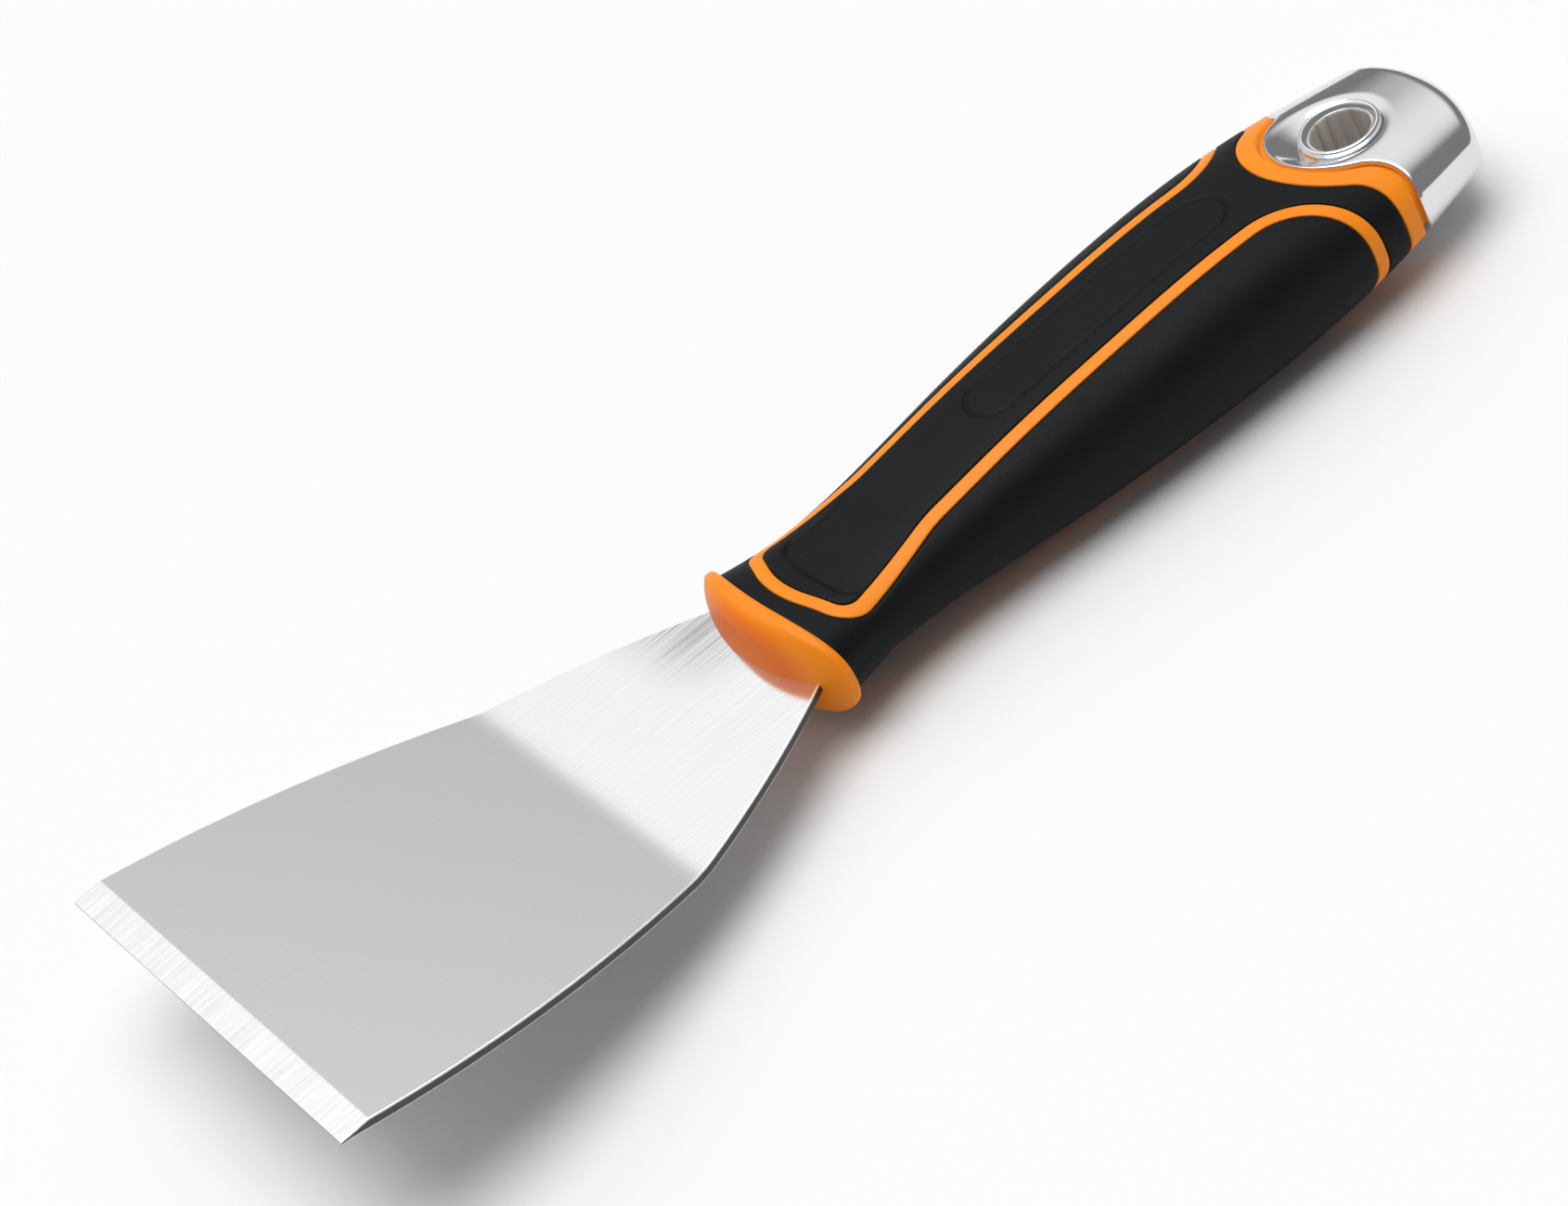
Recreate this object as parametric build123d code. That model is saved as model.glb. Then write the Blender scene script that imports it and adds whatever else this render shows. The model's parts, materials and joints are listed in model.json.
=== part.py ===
from build123d import *
import math
import os

# Flexible putty knife, millimetres.
# Frame: origin at the centre of the hang hole, on the mid-plane of the tang.
# +X runs along the handle towards the working edge, +Y across it, +Z up (bevelled face up).

# ---- blade: one stamped plate with its tang ----
blade_thickness = 1.5
blade_half_width = 38.1
edge_x = 205.0
outline_radius = 170.0
outline_tangent_x = 200.0
bend_x = 144.0
bend_angle = 12.0
bend_radius = 8.0
bevel_length = 4.6
edge_thickness = 0.35
tang_half_width = 10.0
tang_shoulder_x = 106.0
tang_end_x = 8.0
tang_corner = 4.0

# ---- handle sections: station x, half width, half thickness ----
handle_stations = [
    (-22.0, 12.9, 5.5),
    (-10.0, 15.6, 6.8),
    (0.0, 17.7, 8.1),
    (14.0, 18.8, 10.1),
    (29.0, 18.5, 11.3),
    (50.0, 17.6, 10.8),
    (71.0, 15.5, 9.5),
    (87.0, 14.0, 7.7),
    (101.0, 14.4, 6.8),
    (113.0, 16.9, 7.9),
]
section_power = 2.5
section_points = 24
skin_thickness = 2.2

# ---- plan-view cutting areas reach this far past the handle ----
prism_height = 40.0
plan_side_y = 30.0
plan_back_x = -40.0
bow_half_chord = 26.0

# ---- divider line between the two rubber skins (plan view, half of it) ----
line_width = 2.1
line_half_spread = 9.05
arch_x = 11.0
arch_radius = 13.0
waist_x = 86.0
corner_x = 103.8
corner_y = 12.3
front_x = 107.5
line_corner_radii = (arch_radius, 25.0, 3.5, 20.0, 3.5, 25.0, arch_radius)

# ---- nose collar ----
nose_half_width = 17.2
nose_half_thickness = 8.6
nose_front_x = 115.7
nose_front_radius = 33.0
nose_back_x = 110.4
nose_back_radius = 70.0
nose_front_fillet = 3.8
nose_back_fillet = 0.7
nose_bar_overlap = 12.0
rim_edge_length = 10.0

# ---- rear collar and end cap ----
lip_radius = 11.0
lip_shoulder_x = 1.4
lip_blend = 6.0
collar_radius = 15.0
collar_shoulder_x = 5.8
collar_blend = 6.0
shoulder_sweep = 35.0
cap_end_wall = 2.6
cap_end_x = -15.8
cap_end_radius = 26.0
cap_end_fillet = 2.6
dish_radius = 15.0

# ---- hang hole sleeve ----
hole_radius = 4.55
sleeve_wall = 0.65
rim_radius = 6.1
rim_seat_z = 6.7
rim_height = 0.9
rim_chamfer = 0.4
mouth_chamfer = 0.7
seat_clearance = 10.0


def superellipse(x, half_width, half_thickness):
    """Closed section in the plane at x; the corners are rounded by section_power."""
    points = []
    for i in range(section_points):
        angle = 2 * math.pi * i / section_points
        c = math.cos(angle)
        s = math.sin(angle)
        y = half_width * math.copysign(abs(c) ** (2 / section_power), c)
        z = half_thickness * math.copysign(abs(s) ** (2 / section_power), s)
        points.append((x, y, z))
    return make_face(Wire([Edge.make_spline([Vector(*p) for p in points], periodic=True)]))


def handle_body(inset):
    """Smooth body through the handle stations, moved inwards by inset."""
    sections = [superellipse(x, a - inset, b - inset) for x, a, b in handle_stations]
    return loft(sections)


def plan_prism(face):
    """Tall prism on a plan-view face."""
    return extrude(Pos(0, 0, -prism_height / 2) * face, prism_height)


def line_face(shift):
    """Plan area enclosed by the divider line, grown by shift."""
    half = [
        (arch_x, plan_side_y),
        (arch_x, line_half_spread),
        (waist_x, line_half_spread),
        (corner_x, corner_y),
    ]
    other = [(x, -y) for x, y in reversed(half)]
    path = FilletPolyline(*half, (front_x, 0.0), *other, radius=line_corner_radii)
    closing = Polyline(
        (arch_x, -plan_side_y),
        (plan_back_x, -plan_side_y),
        (plan_back_x, plan_side_y),
        (arch_x, plan_side_y),
    )
    face = make_face([path, closing])
    return offset(face, amount=shift) if shift else face


def tongue_face(radius, shoulder_x, blend):
    """Plan area behind a curve that is an arc about the hole, swept back into side shoulders."""
    centre_x = shoulder_x + blend
    centre_y = math.sqrt((radius + blend) ** 2 - centre_x ** 2)
    tangent = (radius * centre_x / (radius + blend), radius * centre_y / (radius + blend))
    sweep = math.radians(shoulder_sweep)
    end = (centre_x - blend * math.cos(sweep), centre_y + blend * math.sin(sweep))
    shoulder = (shoulder_x, centre_y)
    front = ThreePointArc((tangent[0], -tangent[1]), (radius, 0), tangent)
    left = ThreePointArc(tangent, shoulder, end)
    right = ThreePointArc((end[0], -end[1]), (shoulder[0], -shoulder[1]), (tangent[0], -tangent[1]))
    closing = Polyline(
        end,
        (end[0], plan_side_y),
        (plan_back_x, plan_side_y),
        (plan_back_x, -plan_side_y),
        (end[0], -plan_side_y),
        (end[0], -end[1]),
    )
    return make_face([front, left, closing, right])


def bowed_face(crest_x, radius):
    """Plan area behind a shallow arc whose crest is at crest_x."""
    side_x = crest_x - radius + math.sqrt(radius ** 2 - bow_half_chord ** 2)
    arc = ThreePointArc((side_x, -bow_half_chord), (crest_x, 0), (side_x, bow_half_chord))
    closing = Polyline(
        (side_x, bow_half_chord),
        (plan_back_x, bow_half_chord),
        (plan_back_x, -bow_half_chord),
        (side_x, -bow_half_chord),
    )
    return make_face([arc, closing])


def working_outline():
    """Plan area of the exposed plate: parallel at the edge, narrowing on one large arc to the neck."""
    drop_middle = (outline_tangent_x - tang_shoulder_x) / 2
    centre_y = blade_half_width - outline_radius
    neck_y = centre_y + math.sqrt(outline_radius ** 2 - (2 * drop_middle) ** 2)
    middle_y = centre_y + math.sqrt(outline_radius ** 2 - drop_middle ** 2)
    neck = (tang_shoulder_x, neck_y)
    middle = (outline_tangent_x - drop_middle, middle_y)
    shoulder = (outline_tangent_x, blade_half_width)
    far_x = edge_x + 5
    left = ThreePointArc(neck, middle, shoulder)
    right = ThreePointArc((shoulder[0], -shoulder[1]), (middle[0], -middle[1]), (neck[0], -neck[1]))
    front = Polyline(
        shoulder,
        (far_x, blade_half_width),
        (far_x, -blade_half_width),
        (shoulder[0], -shoulder[1]),
    )
    back = Line((neck[0], -neck[1]), neck)
    return make_face([left, front, right, back])


def make_blade():
    """Bent, bevelled plate with a tang that runs back through the handle to the hang hole's sleeve."""
    rise = math.tan(math.radians(bend_angle))
    length = edge_x - bend_x
    half = blade_thickness / 2
    profile = [
        (tang_end_x, -half),
        (bend_x, -half),
        (edge_x, length * rise - half),
        (edge_x, length * rise - half + edge_thickness),
        (edge_x - bevel_length, (length - bevel_length) * rise + half),
        (bend_x, half),
        (tang_end_x, half),
    ]
    side = Plane.XZ * make_face(Polyline(*profile, close=True))
    plate = extrude(side, blade_half_width * 2, both=True)
    bends = [e for e in plate.edges() if abs(e.center().X - bend_x) < 0.01 and e.length > 50]
    plate = fillet(bends, bend_radius)
    tang_length = tang_shoulder_x + 1 - tang_end_x
    tang = RectangleRounded(tang_length, 2 * tang_half_width, tang_corner)
    tang = Pos((tang_shoulder_x + 1 + tang_end_x) / 2, 0, 0) * tang
    outline = plan_prism(working_outline()) + plan_prism(tang)
    return plate & outline


def rim_edges(solid, near_x, side):
    """Long edges round the end of a solid: beyond near_x, in the direction of side."""
    chosen = []
    for edge in solid.edges():
        box = edge.bounding_box()
        beyond = box.max.X > near_x if side > 0 else box.max.X < near_x
        if beyond and edge.length > rim_edge_length:
            chosen.append(edge)
    return chosen


def make_nose():
    """Rounded hard collar that the blade comes out of."""
    section = superellipse(nose_back_x - nose_bar_overlap, nose_half_width, nose_half_thickness)
    bar = extrude(section, prism_height, dir=(1, 0, 0))
    nose = bar & plan_prism(bowed_face(nose_front_x, nose_front_radius))
    nose = nose - plan_prism(bowed_face(nose_back_x, nose_back_radius))
    nose = fillet(rim_edges(nose, nose_front_x - 0.1, 1), nose_front_fillet)
    return fillet(rim_edges(nose, nose_back_x + 0.1, -1), nose_back_fillet)


def hole_space():
    """Space taken by the hang hole's sleeve, with a flat seat under each rim."""
    space = Cylinder(hole_radius + sleeve_wall, prism_height)
    for side in (1, -1):
        seat = Cylinder(rim_radius, seat_clearance)
        space = space + Pos(0, 0, side * (rim_seat_z + seat_clearance / 2)) * seat
    return space


def dish(side):
    """Shallow bowl round the hang hole, left flat where the sleeve's rim sits."""
    drop = math.sqrt(dish_radius ** 2 - rim_radius ** 2)
    bowl = Pos(0, 0, side * (rim_seat_z + drop)) * Sphere(dish_radius)
    return bowl - Pos(0, 0, side * rim_seat_z / 2) * Cylinder(rim_radius, rim_seat_z)


def make_cap(outer, tenon):
    """Cast end cap with tongues on top and underside, hollow over the core's tenon."""
    end = mirror(bowed_face(-cap_end_x, cap_end_radius), Plane.YZ)
    cap = outer & plan_prism(tongue_face(lip_radius, lip_shoulder_x, lip_blend)) & plan_prism(end)
    cap = fillet(rim_edges(cap, 0, -1), cap_end_fillet)
    return cap - dish(1) - dish(-1) - tenon - hole_space()


def make_sleeve():
    """Tube through cap, core and tang with a rolled rim at each end."""
    r0 = hole_radius
    r1 = hole_radius + sleeve_wall
    top = rim_seat_z + rim_height
    points = [
        (r0, 0),
        (r1, 0),
        (r1, rim_seat_z),
        (rim_radius, rim_seat_z),
        (rim_radius, top - rim_chamfer),
        (rim_radius - rim_chamfer, top),
        (r1, top),
        (r0, top - mouth_chamfer),
    ]
    half = revolve(Plane.XZ * make_face(Polyline(*points, close=True)), Axis.Z)
    return half + mirror(half, Plane.XY)


def main():
    os.makedirs("parts", exist_ok=True)
    outer = handle_body(0)
    inner = handle_body(skin_thickness)
    inside = plan_prism(line_face(-line_width / 2))
    enclosed = plan_prism(line_face(line_width / 2))
    behind_nose = plan_prism(bowed_face(nose_back_x, nose_back_radius))
    behind_lip = plan_prism(tongue_face(lip_radius, lip_shoulder_x, lip_blend))
    behind_collar = plan_prism(tongue_face(collar_radius, collar_shoulder_x, collar_blend))
    blade = make_blade()
    skin = outer - inner
    tenon = inner - Pos(cap_end_x + cap_end_wall - 20, 0, 0) * Box(40, 80, 80)
    ribs = (skin & enclosed) - inside - behind_collar
    collar = (skin & behind_collar) - behind_lip
    core = (tenon & behind_nose) + ribs + collar + make_nose()
    core = core - blade - hole_space()
    parts = {
        "blade": blade,
        "handle_core": core,
        "grip_front_sides": (skin & behind_nose) - enclosed - behind_collar,
        "grip_top_rear": (skin & inside) - behind_collar,
        "end_cap": make_cap(outer, tenon),
        "hang_hole_sleeve": make_sleeve(),
    }
    for name, solid in parts.items():
        export_step(solid, "parts/" + name + ".step")
        print(name, round(solid.volume, 1), len(solid.solids()), solid.is_valid)


main()
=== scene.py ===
import json
import math

import bpy
import numpy as np
from mathutils import Matrix, Vector


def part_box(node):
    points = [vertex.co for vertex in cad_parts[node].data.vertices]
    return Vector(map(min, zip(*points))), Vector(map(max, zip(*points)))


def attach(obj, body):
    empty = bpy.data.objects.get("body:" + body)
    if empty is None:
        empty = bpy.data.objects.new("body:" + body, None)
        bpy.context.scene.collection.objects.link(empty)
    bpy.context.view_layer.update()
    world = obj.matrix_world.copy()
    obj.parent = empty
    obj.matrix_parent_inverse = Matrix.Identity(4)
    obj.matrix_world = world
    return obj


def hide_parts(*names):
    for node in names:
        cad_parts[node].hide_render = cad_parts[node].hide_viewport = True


# Flexible putty knife. Shapes are worked out in millimetres and stored in metres.
# Origin: centre of the hang hole. +X to the working edge, +Y across, +Z up.
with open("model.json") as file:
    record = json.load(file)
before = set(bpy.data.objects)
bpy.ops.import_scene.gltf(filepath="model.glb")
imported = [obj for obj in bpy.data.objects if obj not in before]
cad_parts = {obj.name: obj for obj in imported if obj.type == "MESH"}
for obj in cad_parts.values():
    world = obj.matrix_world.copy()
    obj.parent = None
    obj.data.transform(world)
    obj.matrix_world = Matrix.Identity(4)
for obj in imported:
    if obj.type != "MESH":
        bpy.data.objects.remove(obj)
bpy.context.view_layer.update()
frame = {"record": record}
MM = 0.001


def low_corner(node):
    """Lowest corner of a CAD node's box, in millimetres."""
    return np.array(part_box(node)[0]) / MM


def high_corner(node):
    """Highest corner of a CAD node's box, in millimetres."""
    return np.array(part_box(node)[1]) / MM


blade_high = high_corner("blade")
core_high = high_corner("handle_core")
cap_low = low_corner("end_cap")
sleeve_high = high_corner("hang_hole_sleeve")
hole_radius = frame["record"]["mounts"][0]["dims"]["r_mm"]

# ---- blade sizes ----
PLATE = 1.5
BEND_X = 144.0
BEND_SLOPE = math.tan(math.radians(12.0))
BEND_HALF = 2.6
BEVEL_LENGTH = 4.6
EDGE_THICKNESS = 0.35
OUTLINE_RADIUS = 170.0
OUTLINE_TANGENT_X = 200.0
TANG_HALF = 10.0
TANG_GAP = 1.5
NECK_START_X = 106.0
SHOULDER_STEP = 0.01
ARRIS = 0.24
ARRIS_SHARE = 0.3
ARRIS_ROUND = 0.3

# ---- handle sections: station x, half width, half thickness ----
STATION_X = [-22.0, -10.0, 0.0, 14.0, 29.0, 50.0, 71.0, 87.0, 101.0, 113.0]
STATION_WIDTH = [12.9, 15.6, 17.7, 18.8, 18.5, 17.6, 15.5, 14.0, 14.4, 16.9]
STATION_THICKNESS = [5.5, 6.8, 8.1, 10.1, 11.3, 10.8, 9.5, 7.7, 6.8, 7.9]
SECTION_POWER = 2.5
SKIN = 2.2
CORE_SKIN = SKIN + 0.4
PLAN_SIDE_Y = 32.0
PLAN_BACK_X = -60.0

# ---- divider line (plan view, half of it) ----
LINE_HALF = 1.05
LINE_CORNERS = [(11.0, 9.05), (86.0, 9.05), (103.8, 12.3), (107.5, 0.0)]
LINE_RADII = [13.0, 25.0, 3.5, 20.0]

# ---- nose ----
NOSE_HALF_WIDTH = 17.2
NOSE_HALF_THICKNESS = 8.6
NOSE_FRONT_RADIUS = 33.0
NOSE_BACK_X = 110.4
NOSE_BACK_RADIUS = 70.0
NOSE_FRONT_ROUND = 3.2
NOSE_BACK_ROUND = 0.9
NOSE_LEAN = 1.7
NOSE_LEAN_POWER = 1.3

# ---- rear collar, cap and sleeve ----
LIP_RADIUS = 11.0
LIP_SHOULDER_X = 1.4
COLLAR_RADIUS = 15.0
COLLAR_SHOULDER_X = 5.8
TONGUE_BLEND = 6.0
SHOULDER_END = math.radians(145)
CAP_END_RADIUS = 26.0
CAP_END_ROUND = 2.8
CAP_WALL = 1.9
DISH_FLOOR_Z = 6.7
DISH_RADIUS = 15.0
DISH_BLEND = 0.6
SLEEVE_WALL = 0.65
BEAD_RADIUS = 0.42


# ---- curves and surfaces ----

def spline(xs, ys):
    """Natural cubic through the stations, as a function of an array."""
    xs, ys = np.array(xs), np.array(ys)
    count = len(xs)
    h = np.diff(xs)
    matrix = np.zeros((count, count))
    right = np.zeros(count)
    matrix[0, 0] = matrix[-1, -1] = 1.0
    for i in range(1, count - 1):
        matrix[i, i - 1:i + 2] = h[i - 1], 2 * (h[i - 1] + h[i]), h[i]
        right[i] = 6 * ((ys[i + 1] - ys[i]) / h[i] - (ys[i] - ys[i - 1]) / h[i - 1])
    k = np.linalg.solve(matrix, right)

    def value(x):
        x = np.clip(x, xs[0], xs[-1])
        i = np.clip(np.searchsorted(xs, x) - 1, 0, count - 2)
        before_next = xs[i + 1] - x
        past_last = x - xs[i]
        bow = (k[i] * before_next ** 3 + k[i + 1] * past_last ** 3) / (6 * h[i])
        low = (ys[i] / h[i] - k[i] * h[i] / 6) * before_next
        return bow + low + (ys[i + 1] / h[i] - k[i + 1] * h[i] / 6) * past_last

    return value


half_width = spline(STATION_X, STATION_WIDTH)
half_thickness = spline(STATION_X, STATION_THICKNESS)


def smooth(t):
    """Soft step from 0 to 1."""
    t = np.clip(t, 0.0, 1.0)
    return t * t * (3 - 2 * t)


def squircle(phi, a, b):
    """Point of the rounded handle section with half width a and half thickness b."""
    c, s = np.cos(phi), np.sin(phi)
    q = 2 / SECTION_POWER
    return a * np.sign(c) * np.abs(c) ** q, b * np.sign(s) * np.abs(s) ** q


def on_body(x, phi, inset):
    """Point of the handle's surface, moved inwards by inset."""
    y, z = squircle(phi, half_width(x) - inset, half_thickness(x) - inset)
    return np.stack([x, y, z], -1)


def arc_points(centre, radius, start, end, steps=24):
    """Plan-view points along an arc."""
    angles = np.linspace(start, end, steps)
    return [(centre[0] + radius * math.cos(t), centre[1] + radius * math.sin(t)) for t in angles]


def rounded_path(points, radii):
    """Polyline whose inner corners are rounded."""
    path = [points[0]]
    for i in range(1, len(points) - 1):
        corner = np.array(points[i])
        u = np.array(points[i - 1]) - corner
        v = np.array(points[i + 1]) - corner
        u, v = u / np.linalg.norm(u), v / np.linalg.norm(v)
        half = math.acos(float(np.clip(u @ v, -1, 1))) / 2
        centre = corner + (u + v) / np.linalg.norm(u + v) * radii[i - 1] / math.sin(half)
        first = corner + u * radii[i - 1] / math.tan(half) - centre
        last = corner + v * radii[i - 1] / math.tan(half) - centre
        start = math.atan2(first[1], first[0])
        turn = (math.atan2(last[1], last[0]) - start + math.pi) % (2 * math.pi) - math.pi
        path += arc_points(centre, radii[i - 1], start, start + turn)
    return np.array(path + [points[-1]])


def tongue_path(radius, shoulder_x):
    """Arc about the hole that sweeps back into side shoulders."""
    cx = shoulder_x + TONGUE_BLEND
    cy = math.sqrt((radius + TONGUE_BLEND) ** 2 - cx ** 2)
    meet = math.atan2(cy, cx)
    side = arc_points((cx, cy), TONGUE_BLEND, math.pi + meet, SHOULDER_END)
    front = arc_points((0, 0), radius, -meet, meet, 60)
    other = [(x, -y) for x, y in reversed(side)]
    path = other + front[1:-1] + side
    return np.array([(path[0][0], -PLAN_SIDE_Y)] + path + [(path[-1][0], PLAN_SIDE_Y)])


def signed_distance(path):
    """Plan distance to an open curve, positive behind it (towards the cap)."""
    ring = np.concatenate([path, [(PLAN_BACK_X, path[-1][1]), (PLAN_BACK_X, path[0][1])]])
    start, end = path[:-1], path[1:]
    edge = end - start
    ring_next = np.roll(ring, -1, 0)

    def value(x, y):
        x, y = np.ravel(x), np.ravel(y)
        near = np.full(len(x), 1e9)
        for s, e in zip(start, edge):
            t = np.clip(((x - s[0]) * e[0] + (y - s[1]) * e[1]) / max(e @ e, 1e-12), 0, 1)
            near = np.minimum(near, (x - s[0] - t * e[0]) ** 2 + (y - s[1] - t * e[1]) ** 2)
        inside = np.zeros(len(x), bool)
        for (ax, ay), (bx, by) in zip(ring, ring_next):
            if ay != by:
                inside ^= ((ay > y) != (by > y)) & (x < (bx - ax) * (y - ay) / (by - ay) + ax)
        return np.sqrt(near) * np.where(inside, 1.0, -1.0)

    return value


def bowed_x(y, crest_x, radius):
    """x of an arc that bows towards the blade, at a distance y from the middle."""
    return crest_x - radius + np.sqrt(np.maximum(radius ** 2 - y ** 2, 0.0))


line_half_path = [(LINE_CORNERS[0][0], PLAN_SIDE_Y)] + LINE_CORNERS
line_points = line_half_path + [(x, -y) for x, y in reversed(line_half_path[:-1])]
line_distance = signed_distance(rounded_path(line_points, LINE_RADII + LINE_RADII[-2::-1]))
lip_distance = signed_distance(tongue_path(LIP_RADIUS, LIP_SHOULDER_X))
collar_distance = signed_distance(tongue_path(COLLAR_RADIUS, COLLAR_SHOULDER_X))


# ---- meshes ----

def make_object(name, points, faces, materials, face_material=None):
    """Mesh object from points in millimetres, smooth shaded."""
    mesh = bpy.data.meshes.new(name)
    mesh.from_pydata((np.array(points) * MM).tolist(), [], [list(map(int, f)) for f in faces])
    mesh.update()
    for material in materials:
        mesh.materials.append(material)
    if face_material is not None:
        mesh.polygons.foreach_set("material_index", np.array(face_material, np.int32))
    mesh.polygons.foreach_set("use_smooth", np.ones(len(mesh.polygons), bool))
    ob = bpy.data.objects.new(name, mesh)
    bpy.context.scene.collection.objects.link(ob)
    return ob


# Tolerances of the shells. SNAP_REACH and PROBE count grid cells, the levels are millimetres.
ON_LEVEL = 1e-7
NEAR_LEVEL = 0.004
ROUGH_LEVEL = 0.02
SNAP_REACH = 0.24
PROBE = 0.03
WELDS_PER_MM = 1e4

# Grids of the shells: first x, last x and number of rows, then the numbers of columns.
LINE_ROWS = (6.0, 110.0, 232)
COLLAR_ROWS = (-3.0, 17.0, 70)
FRONT_SIDES_ROWS = (9.0, 112.0, 180)
TOP_REAR_ROWS = (0.0, 108.0, 190)
FINE_COLUMNS = 320
RUBBER_COLUMNS = 256


def split_triangles(p, g, tris, level):
    """Cuts the triangles along g = level, where p are grid points and g a field's values there."""
    side = np.sign(np.where(np.abs(g - level) < ON_LEVEL, 0.0, g - level)).astype(int)
    a = side[tris]
    crossed = (a.min(1) < 0) & (a.max(1) > 0)
    if not crossed.any():
        return p, g, tris
    keep, cut, sides = tris[~crossed], tris[crossed], a[crossed]
    pairs = np.concatenate([cut[:, [0, 1]], cut[:, [1, 2]], cut[:, [2, 0]]])
    pairs = np.sort(pairs[side[pairs[:, 0]] * side[pairs[:, 1]] < 0], 1)
    pairs = np.unique(pairs, axis=0)
    key = pairs[:, 0] * len(p) + pairs[:, 1]
    t = (level - g[pairs[:, 0]]) / (g[pairs[:, 1]] - g[pairs[:, 0]])
    fresh = p[pairs[:, 0]] + t[:, None] * (p[pairs[:, 1]] - p[pairs[:, 0]])
    base = len(p)

    def between(m, n):
        low, high = np.minimum(m, n), np.maximum(m, n)
        return base + np.searchsorted(key, low * base + high)

    has_zero = (sides == 0).any(1)
    lone = np.where(sides.sum(1) > 0, -1, 1)
    first = np.where(has_zero, np.argmax(sides == 0, 1), np.argmax(sides == lone[:, None], 1))
    rolled = np.stack([cut[np.arange(len(cut)), (first + k) % 3] for k in range(3)], 1)
    z, w = rolled[has_zero], rolled[~has_zero]
    made = []
    if len(z):
        mid = between(z[:, 1], z[:, 2])
        made += [np.stack([z[:, 0], z[:, 1], mid], 1), np.stack([z[:, 0], mid, z[:, 2]], 1)]
    if len(w):
        e1 = between(w[:, 0], w[:, 1])
        e2 = between(w[:, 0], w[:, 2])
        made.append(np.stack([w[:, 0], e1, e2], 1))
        made.append(np.stack([e1, w[:, 1], w[:, 2]], 1))
        made.append(np.stack([e1, w[:, 2], e2], 1))
    points = np.concatenate([p, fresh])
    values = np.concatenate([g, np.full(len(fresh), level)])
    return points, values, np.concatenate([keep] + made)


def shell(place, u, columns, clips, details, inset, thickness):
    """Closed shell on part of a surface.

    place(u, phi, inset) gives points. clips are (field, levels): the shell ends where a field is
    zero. details are (field, levels) that only add edges. inset(u, phi, clip values, detail values)
    shapes the outside; the inside lies at a constant inset.
    """
    rows = len(u)
    grid = np.indices((rows, columns + 1), dtype=float)
    p = grid.reshape(2, -1).T.copy()
    index = np.arange(rows * (columns + 1)).reshape(rows, columns + 1)
    a = index[:-1, :-1].ravel()
    b = index[1:, :-1].ravel()
    c = index[1:, 1:].ravel()
    d = index[:-1, 1:].ravel()
    tris = np.concatenate([np.stack([a, d, c], 1), np.stack([a, c, b], 1)])

    def uv(q):
        return np.interp(q[:, 0], np.arange(rows), u), q[:, 1] * 2 * math.pi / columns

    def evaluate(field, q):
        flat = place(*uv(q), 0.0)
        return field(flat[:, 0], flat[:, 1], flat[:, 2])

    moved = np.zeros(len(p), bool)
    for field, levels in clips + details:
        g = evaluate(field, p)
        gi = (evaluate(field, p + [PROBE, 0]) - g) / PROBE
        gj = (evaluate(field, p + [0, PROBE]) - g) / PROBE
        steep = np.maximum(gi ** 2 + gj ** 2, 1e-9)
        level = np.array(levels)[np.argmin(np.abs(g[:, None] - np.array(levels)[None, :]), 1)]
        close = (np.abs(g - level) / np.sqrt(steep) < SNAP_REACH) & ~moved
        shift = ((level - g) / steep)[:, None] * np.stack([gi, gj], 1)
        p[close] += shift[close]
        moved |= close
    p[:, 0] = np.clip(p[:, 0], 0, rows - 1)
    for field, levels in clips + details:
        g = evaluate(field, p)
        for level in levels:
            g = np.where(np.abs(g - level) < NEAR_LEVEL, level, g)
        for level in levels:
            p, g, tris = split_triangles(p, g, tris, level)
        if (field, levels) in clips:
            tris = tris[(g[tris].mean(1) > 1e-6) & (g[tris].min(1) > -ROUGH_LEVEL)]
        used, tris = np.unique(tris, return_inverse=True)
        tris = tris.reshape(-1, 3)
        p = p[used]
    values = []
    for field, levels in clips + details:
        g = evaluate(field, p)
        for level in levels:
            g = np.where(np.abs(g - level) < ROUGH_LEVEL, level, g)
        values.append(g)
    su, sv = uv(p)
    outer = place(su, sv, inset(su, sv, values[:len(clips)], values[len(clips):]))
    inner = place(su, sv, thickness)
    key = np.round(np.concatenate([outer, inner], 1) * WELDS_PER_MM).astype(np.int64)
    _, first, same = np.unique(key, axis=0, return_index=True, return_inverse=True)
    same = np.ravel(same)
    tris = same[tris]
    whole = (tris[:, 0] != tris[:, 1]) & (tris[:, 1] != tris[:, 2]) & (tris[:, 2] != tris[:, 0])
    tris = tris[whole]
    outer, inner = outer[first], inner[first]
    n = len(outer)
    edges = np.concatenate([tris[:, [0, 1]], tris[:, [1, 2]], tris[:, [2, 0]]])
    forward = edges[:, 0] * n + edges[:, 1]
    backward = edges[:, 1] * n + edges[:, 0]
    rim = edges[~np.isin(forward, backward)]
    walls = np.stack([rim[:, 1], rim[:, 0], rim[:, 0] + n, rim[:, 1] + n], 1)
    faces = tris.tolist() + (tris[:, ::-1] + n).tolist() + walls.tolist()
    return np.concatenate([outer, inner]), faces


def tube(rows):
    """Closed skin over rings of points; the first and last ring collapse to single points."""
    n, m = rows.shape[0], rows.shape[1]
    points = rows.reshape(-1, 3).tolist()
    faces = []
    for i in range(n - 1):
        for j in range(m):
            k = (j + 1) % m
            faces.append((i * m + j, i * m + k, (i + 1) * m + k, (i + 1) * m + j))
    start, end = len(points), len(points) + 1
    points += [rows[0].mean(0).tolist(), rows[-1].mean(0).tolist()]
    for j in range(m):
        k = (j + 1) % m
        faces.append((start, k, j))
        faces.append((end, (n - 1) * m + j, (n - 1) * m + k))
    return np.array(points), faces


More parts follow.
